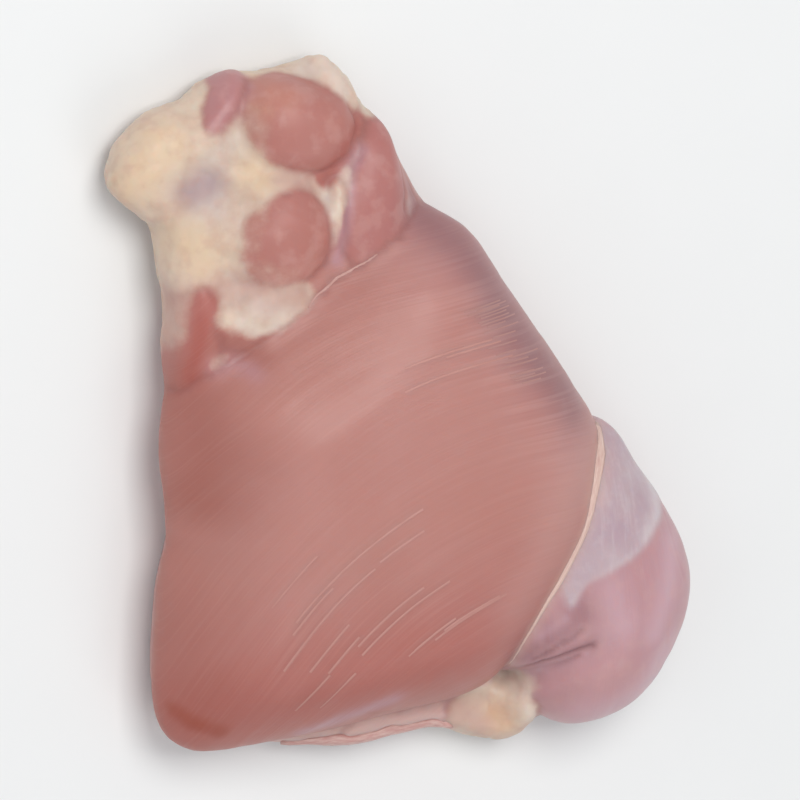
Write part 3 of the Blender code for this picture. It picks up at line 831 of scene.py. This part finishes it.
def flesh(names):
    """Raw meat: dusty pink muscle with fine fibres, cream fat, pearly skin on the side muscle, tints of
    blood, brown and mauve, and the painted shade, highlights and sheen that the zones with these names give."""
    f = Finish("raw_flesh")
    zone = SimpleNamespace(**{name: f.zone(name) for name in names})
    place = f.place()
    slow = f.noise(place, 36, 2.0)
    patchy = f.noise(place, 110, 3.0)
    bundles = f.noise(f.stored_place("fibre", (0.7, 0.045, 0.03)), 0.9, 3.0, 0.55)
    hairs = f.noise(f.stored_place("fibre", (1.0, 0.022, 0.03)), 3.2, 2.0, 0.6)
    specks = f.noise(place, 900, 3.0, 0.6)
    ragged = f.noise(place, 620, 4.0, 0.6)
    fat = f.fade(zone.fat + (ragged - 0.5) * 0.35, 0.16, 0.84)
    blots = f.noise(place, 330, 3.0)
    threadlike = f.noise(f.place((3.0, 0.35, 1.0)), 330, 3.0, 0.6)
    lines = f.noise(f.stored_place("fibre", (1.0, 0.014, 0.01)), 1.8, 1.0)
    lumpy = f.cells(place, 300)
    pearly = f.blend(f.fade(slow, 0.35, 0.65), (184, 142, 152), (193, 156, 168))
    veil = f.blend(f.fade(patchy, 0.35, 0.7), (180, 160, 170), (192, 176, 182))

    muscle = f.tinted(
        f.blend(f.fade(slow, 0.3, 0.7), (185, 129, 120), (188, 135, 128)),
        (f.fade(patchy, 0.4, 0.75) * 0.14, (176, 113, 103)),
        (zone.red * 0.8, (168, 88, 78)),
        # brown tone, with painted shade on the left side
        (zone.brown * 0.6, (154, 86, 74)),
        # painted light along the main muscle's right side
        (zone.pale * 0.4, (198, 158, 153)),
        (zone.orange * 0.25, (212, 156, 132)),
        # mauve tone, with painted shade along the edges and the crease
        (zone.mauve * 0.85, (143, 98, 101)),
        # pearly skin, with painted sheen along the broad edge and on the strip
        (zone.pearl * (1 - zone.mauve * 0.5) * 0.8, pearly),
        # painted highlights and painted light on the side muscle
        (zone.light * 0.42, (214, 184, 196)),
        (zone.folds * 0.75, (218, 184, 174)),
        (f.fade(bundles, 0.48, 0.75) * zone.streaky * 0.05, (214, 170, 160)),
        (f.fade(hairs, 0.5, 0.75) * zone.streaky * 0.06, (218, 176, 166)),
        (f.fade(hairs, 0.5, 0.25) * zone.streaky * 0.06, (156, 92, 84)),
        (f.fade(lines, 0.48, 0.62) * zone.lined * 0.16, (212, 172, 164)),
        (f.fade(lines, 0.5, 0.36) * zone.lined * 0.08, (150, 100, 98)),
        (f.fade(blots, 0.45, 0.7) * (1 - zone.streaky) * 0.25, (214, 176, 168)),
        (zone.film * 0.72, veil),
        (f.fade(ragged, 0.45, 0.7) * zone.film * 0.25, (208, 194, 198)),
        (f.fade(threadlike, 0.5, 0.75) * zone.film * 0.3, (212, 200, 204)),
        (zone.streak * zone.film * 0.55, (216, 206, 208)),
        (zone.rim * 0.6, (212, 172, 160)))
    cream = f.tinted(
        f.blend(f.fade(slow, 0.35, 0.62), (216, 190, 168), (210, 187, 171)),
        (f.fade(patchy, 0.42, 0.72) * 0.45, (203, 164, 150)),
        (f.fade(blots, 0.4, 0.7) * 0.4, (224, 208, 190)),
        (zone.grey * 0.75, (200, 184, 178)),
        (zone.yellow * 0.75, (221, 195, 162)),
        (zone.pink * 0.85, (193, 153, 143)),
        (zone.orange * 0.6, (222, 178, 138)),
        (zone.white * 0.7, (218, 202, 192)),
        (f.fade(lumpy, 0.1, 0.6) * 0.22, (222, 204, 186)),
        # mauve on the fat, with painted shade where the edge paths reach it
        (zone.mauve * 0.85, (162, 134, 142)),
        (f.fade(blots, 0.5, 0.3) * 0.25, (192, 152, 136)))
    colour = f.tinted(
        f.blend(fat, muscle, cream),
        # painted shade in the creases between lobes
        (zone.seam * 0.35, (150, 88, 82)),
        # painted shade in the side muscle's crease and wrinkles
        (zone.line * 0.5, (120, 66, 66)),
        # juice, and painted shade in the recess under the main muscle's edge
        (zone.juice * 0.75, (158, 80, 62)))

    rough = 0.45 + fat * 0.04 - zone.pearl * 0.08 - zone.juice * 0.1 + (patchy - 0.5) * 0.16
    bumps = (hairs * 0.35 + bundles * 0.4) * (1 - fat) * zone.streaky + lumpy * fat * 0.4 + specks * 0.18
    return f.close(Base_Color=colour, Roughness=rough, IOR=1.38, Subsurface_Weight=0.5,
                   Subsurface_Radius=(1.0, 0.42, 0.28), Subsurface_Scale=0.003,
                   Coat_Weight=0.08 + zone.juice * 0.2 + zone.pearl * 0.18, Coat_Roughness=0.22,
                   Coat_IOR=1.36, height=bumps, depth=0.00011)


def connective(name, pale, shaded):
    """Connective tissue: pale, glossy and finely streaked along its strip."""
    f = Finish(name)
    strip = f.stored_place("strip", (2.0, 0.25, 1.0))
    streak = f.noise(strip, 1.4, 3.0, 0.6)
    mottle = f.noise(f.place(), 420, 2.0)
    colour = f.blend(f.fade(streak, 0.35, 0.7), shaded, pale)
    colour = f.blend(f.fade(mottle, 0.5, 0.8) * 0.4, colour, (196, 138, 130))
    return f.close(Base_Color=colour, Roughness=0.34 + mottle * 0.12, IOR=1.38, Coat_Weight=0.25,
                   Coat_Roughness=0.2, height=streak * 0.7 + mottle * 0.3, depth=0.0001)


def thread_finish(name, low, high):
    """The pale threads between the fibres, from their tone at the broad end to the one further up."""
    f = Finish(name)
    mottle = f.noise(f.place(), 260, 2.0)
    height = f.node("ShaderNodeSeparateXYZ", {"Vector": f.place()}, out="Y")
    colour = f.blend(f.fade(height, -0.040, -0.008), low, high)
    colour = f.blend(f.fade(mottle, 0.35, 0.7) * 0.35, colour, (180, 124, 116))
    return f.close(Base_Color=colour, Roughness=0.46 + mottle * 0.1, IOR=1.38)


def table_finish():
    """The plain pale surface that the thigh lies on."""
    f = Finish("pale_table")
    grain = f.noise(f.place(), 60, 2.0)
    colour = f.blend(grain * 0.5, (236, 237, 237), (232, 233, 233))
    return f.close(Base_Color=colour, Roughness=0.6 + grain * 0.05)


def thread_tree():
    """The nodes that lay loose lines down on the meat and make each a thread, thin at its ends."""
    group = bpy.data.node_groups.new("laid_threads", "GeometryNodeTree")
    t = Tree(group)
    kinds = {"Lines": "Geometry", "Surface": "Object", "Finish": "Material", "Thickness": "Float",
             "Uneven": "Float", "Sunk": "Float", "Seed": "Int"}
    sockets = {name: group.interface.new_socket(name, in_out="INPUT", socket_type="NodeSocket" + kind)
               for name, kind in kinds.items()}
    group.interface.new_socket("Threads", in_out="OUTPUT", socket_type="NodeSocketGeometry")
    given = group.nodes.new("NodeGroupInput")
    wire = {name: Wire(t, given.outputs[name]) for name in kinds}

    lines = t.node("GeometryNodeMeshToCurve", {"Mesh": wire["Lines"]})
    lines = t.node("GeometryNodeResampleCurve", {"Curve": lines, "Length": THREAD_STEP}, mode="LENGTH")
    meat = t.node("GeometryNodeObjectInfo", {"Object": wire["Surface"]}, out="Geometry")
    down = {"Target Geometry": meat, "Source Position": t.node("GeometryNodeInputPosition"),
            "Ray Direction": (0, 0, -1), "Ray Length": THREAD_DROP}
    spot = t.node("GeometryNodeRaycast", down, out="Hit Position")
    out = t.node("GeometryNodeRaycast", down, out="Hit Normal")
    sunk = t.node("ShaderNodeVectorMath", {0: out, "Scale": wire["Sunk"] * -1}, operation="SCALE")
    rest = t.node("ShaderNodeVectorMath", {0: spot, 1: sunk}, operation="ADD")
    lines = t.node("GeometryNodeSetPosition", {"Geometry": lines, "Position": rest})
    share = t.node("GeometryNodeSplineParameter", out="Factor")
    swell = t.node("ShaderNodeMath", {0: share * math.pi}, operation="SINE") ** 0.6
    number = t.node("GeometryNodeCurveOfPoint", out="Curve Index")
    drawn = t.node("FunctionNodeRandomValue", {2: 1 - wire["Uneven"], 3: 1.0, "ID": number,
                                               "Seed": wire["Seed"]}, out=1, data_type="FLOAT")
    lines = t.node("GeometryNodeSetCurveRadius", {"Curve": lines, "Radius": swell * drawn + 0.05})
    ring = t.node("GeometryNodeCurvePrimitiveCircle", {"Resolution": THREAD_SIDES,
                                                       "Radius": wire["Thickness"] * 0.5})
    threads = t.node("GeometryNodeCurveToMesh", {"Curve": lines, "Profile Curve": ring, "Fill Caps": True})
    threads = t.node("GeometryNodeRealizeInstances", {"Geometry": threads})
    threads = t.node("GeometryNodeSetMaterial", {"Geometry": threads, "Material": wire["Finish"]})
    t.node("NodeGroupOutput", {"Threads": threads})
    return group, {name: socket.identifier for name, socket in sockets.items()}


def threads(name, paths, tree, surface, finish, thickness, uneven, sunk, seed):
    """The plain mesh of threads that the nodes lay on the meat along paths in plan."""
    group, identifiers = tree
    points, links = [], []
    for path in paths:
        links += [(len(points) + i, len(points) + i + 1) for i in range(len(path) - 1)]
        points += [(x * MM, y * MM, THREAD_START) for x, y in path]
    lines = bpy.data.meshes.new(name + "_lines")
    lines.from_pydata(points, links, [])
    maker = placed(name + "_maker", lines)
    modifier = maker.modifiers.new("lay", "NODES")
    modifier.node_group = group
    for socket, value in {"Surface": surface, "Finish": finish, "Thickness": thickness * MM,
                          "Uneven": uneven, "Sunk": sunk * MM, "Seed": seed}.items():
        modifier[identifiers[socket]] = value
    graph = bpy.context.evaluated_depsgraph_get()
    mesh = bpy.data.meshes.new_from_object(maker.evaluated_get(graph), depsgraph=graph)
    bpy.data.objects.remove(maker)
    mesh.name = name
    mesh.shade_smooth()
    return placed(name, mesh)


def studio():
    """Table, lights and camera."""
    scene = bpy.context.scene
    scene.view_settings.view_transform = "Standard"
    table = bpy.data.meshes.new("table")
    corners = [(x * TABLE_HALF, y * TABLE_HALF, 0) for x, y in ((-1, -1), (1, -1), (1, 1), (-1, 1))]
    table.from_pydata(corners, [], [(0, 1, 2, 3)])
    table.transform(Matrix.Translation((0, 0, -TABLE_GAP)))
    table.materials.append(table_finish())
    floor = placed("table", table)

    world = bpy.data.worlds.new("soft_room")
    scene.world = world
    world.use_nodes = True
    room = world.node_tree.nodes["Background"].inputs
    room["Color"].default_value = ROOM_COLOUR
    room["Strength"].default_value = ROOM_LIGHT

    right = VIEW_RIGHT.normalized()
    back = (VIEW_BACK - right * VIEW_BACK.dot(right)).normalized()
    up = back.cross(right)
    for name, (place, size, power, colour) in LAMPS.items():
        lamp = placed(name, bpy.data.lights.new(name, "AREA"), size=size, energy=power, color=colour)
        lamp.location = right * place[0] + up * place[1] + back * place[2]
        lamp.rotation_euler = (-lamp.location).to_track_quat("-Z", "Y").to_euler()

    holder = placed("camera", bpy.data.cameras.new("camera"), sensor_width=SENSOR,
                    lens=SENSOR * VIEW_DISTANCE / VIEW_WIDTH, clip_end=20)
    target = right * VIEW_CENTRE[0] + up * VIEW_CENTRE[1]
    turn = Matrix((right, up, back)).transposed().to_4x4()
    holder.matrix_world = Matrix.Translation(target + back * VIEW_DISTANCE) @ turn
    scene.camera = holder


def dress():
    """Makes every piece and ties it to the frame."""
    skin = Skin(thigh_field(Field(LOW, HIGH, GRID)))
    meat = thigh_piece(skin)
    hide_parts(SOLID)
    surface = BVHTree.FromObject(meat, bpy.context.evaluated_depsgraph_get())

    tendon = connective("pale_edge", (226, 200, 189), (210, 174, 163))
    thin_seam = connective("thin_seam", (200, 154, 145), (191, 142, 133))
    skin_fold = connective("skin_fold", (216, 182, 174), (198, 150, 144))
    edge = band("pale_edge", skin.pale_edge, PALE_EDGE_WIDTHS, 0.16, surface, tendon, shift=EDGE_SHIFT)
    seam_path = skin.crease("main", [*FAT, "strip", "lower_end"], 0, WHITE_SEAM_SPAN, WHITE_SEAM_POINTS)
    seam = band("white_seam", seam_path, WHITE_SEAM_WIDTHS, 0.1, surface, thin_seam)
    folds = [band(name, path, widths, 0.5, surface, skin_fold, frill=0.4, seed=seed)
             for name, (path, widths, seed) in SKIN_FOLDS.items()]

    tree = thread_tree()
    thread = thread_finish("fibre_thread", (186, 133, 124), (194, 142, 133))
    fine_thread = thread_finish("fine_thread", (178, 131, 127), (182, 137, 131))
    striations = threads("striations", [fibre_line(*start) for start in [*STRIATIONS, *LONG_THREADS]], tree,
                         meat, thread, thickness=0.74, uneven=0.3, sunk=0.3, seed=4)
    draw = np.random.default_rng(FAN_SEED)
    fan_path = open_curve(FAN)
    starts = [fan_path[int((len(fan_path) - 1) * i / FAN_COUNT)] + draw.uniform((-1.5, -0.2), (1.5, 0.2))
              for i in range(FAN_COUNT)]
    fan = threads("fan_threads", [fibre_line(x, y, draw.uniform(4, 9)) for x, y in starts], tree, meat,
                  fine_thread, thickness=0.6, uneven=0.3, sunk=0.235, seed=9)
    for slot, pieces in {"meat": [meat], "fat": folds, "silver_skin": [edge, seam, striations, fan]}.items():
        for piece in pieces:
            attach(piece, BODY)


studio()
dress()
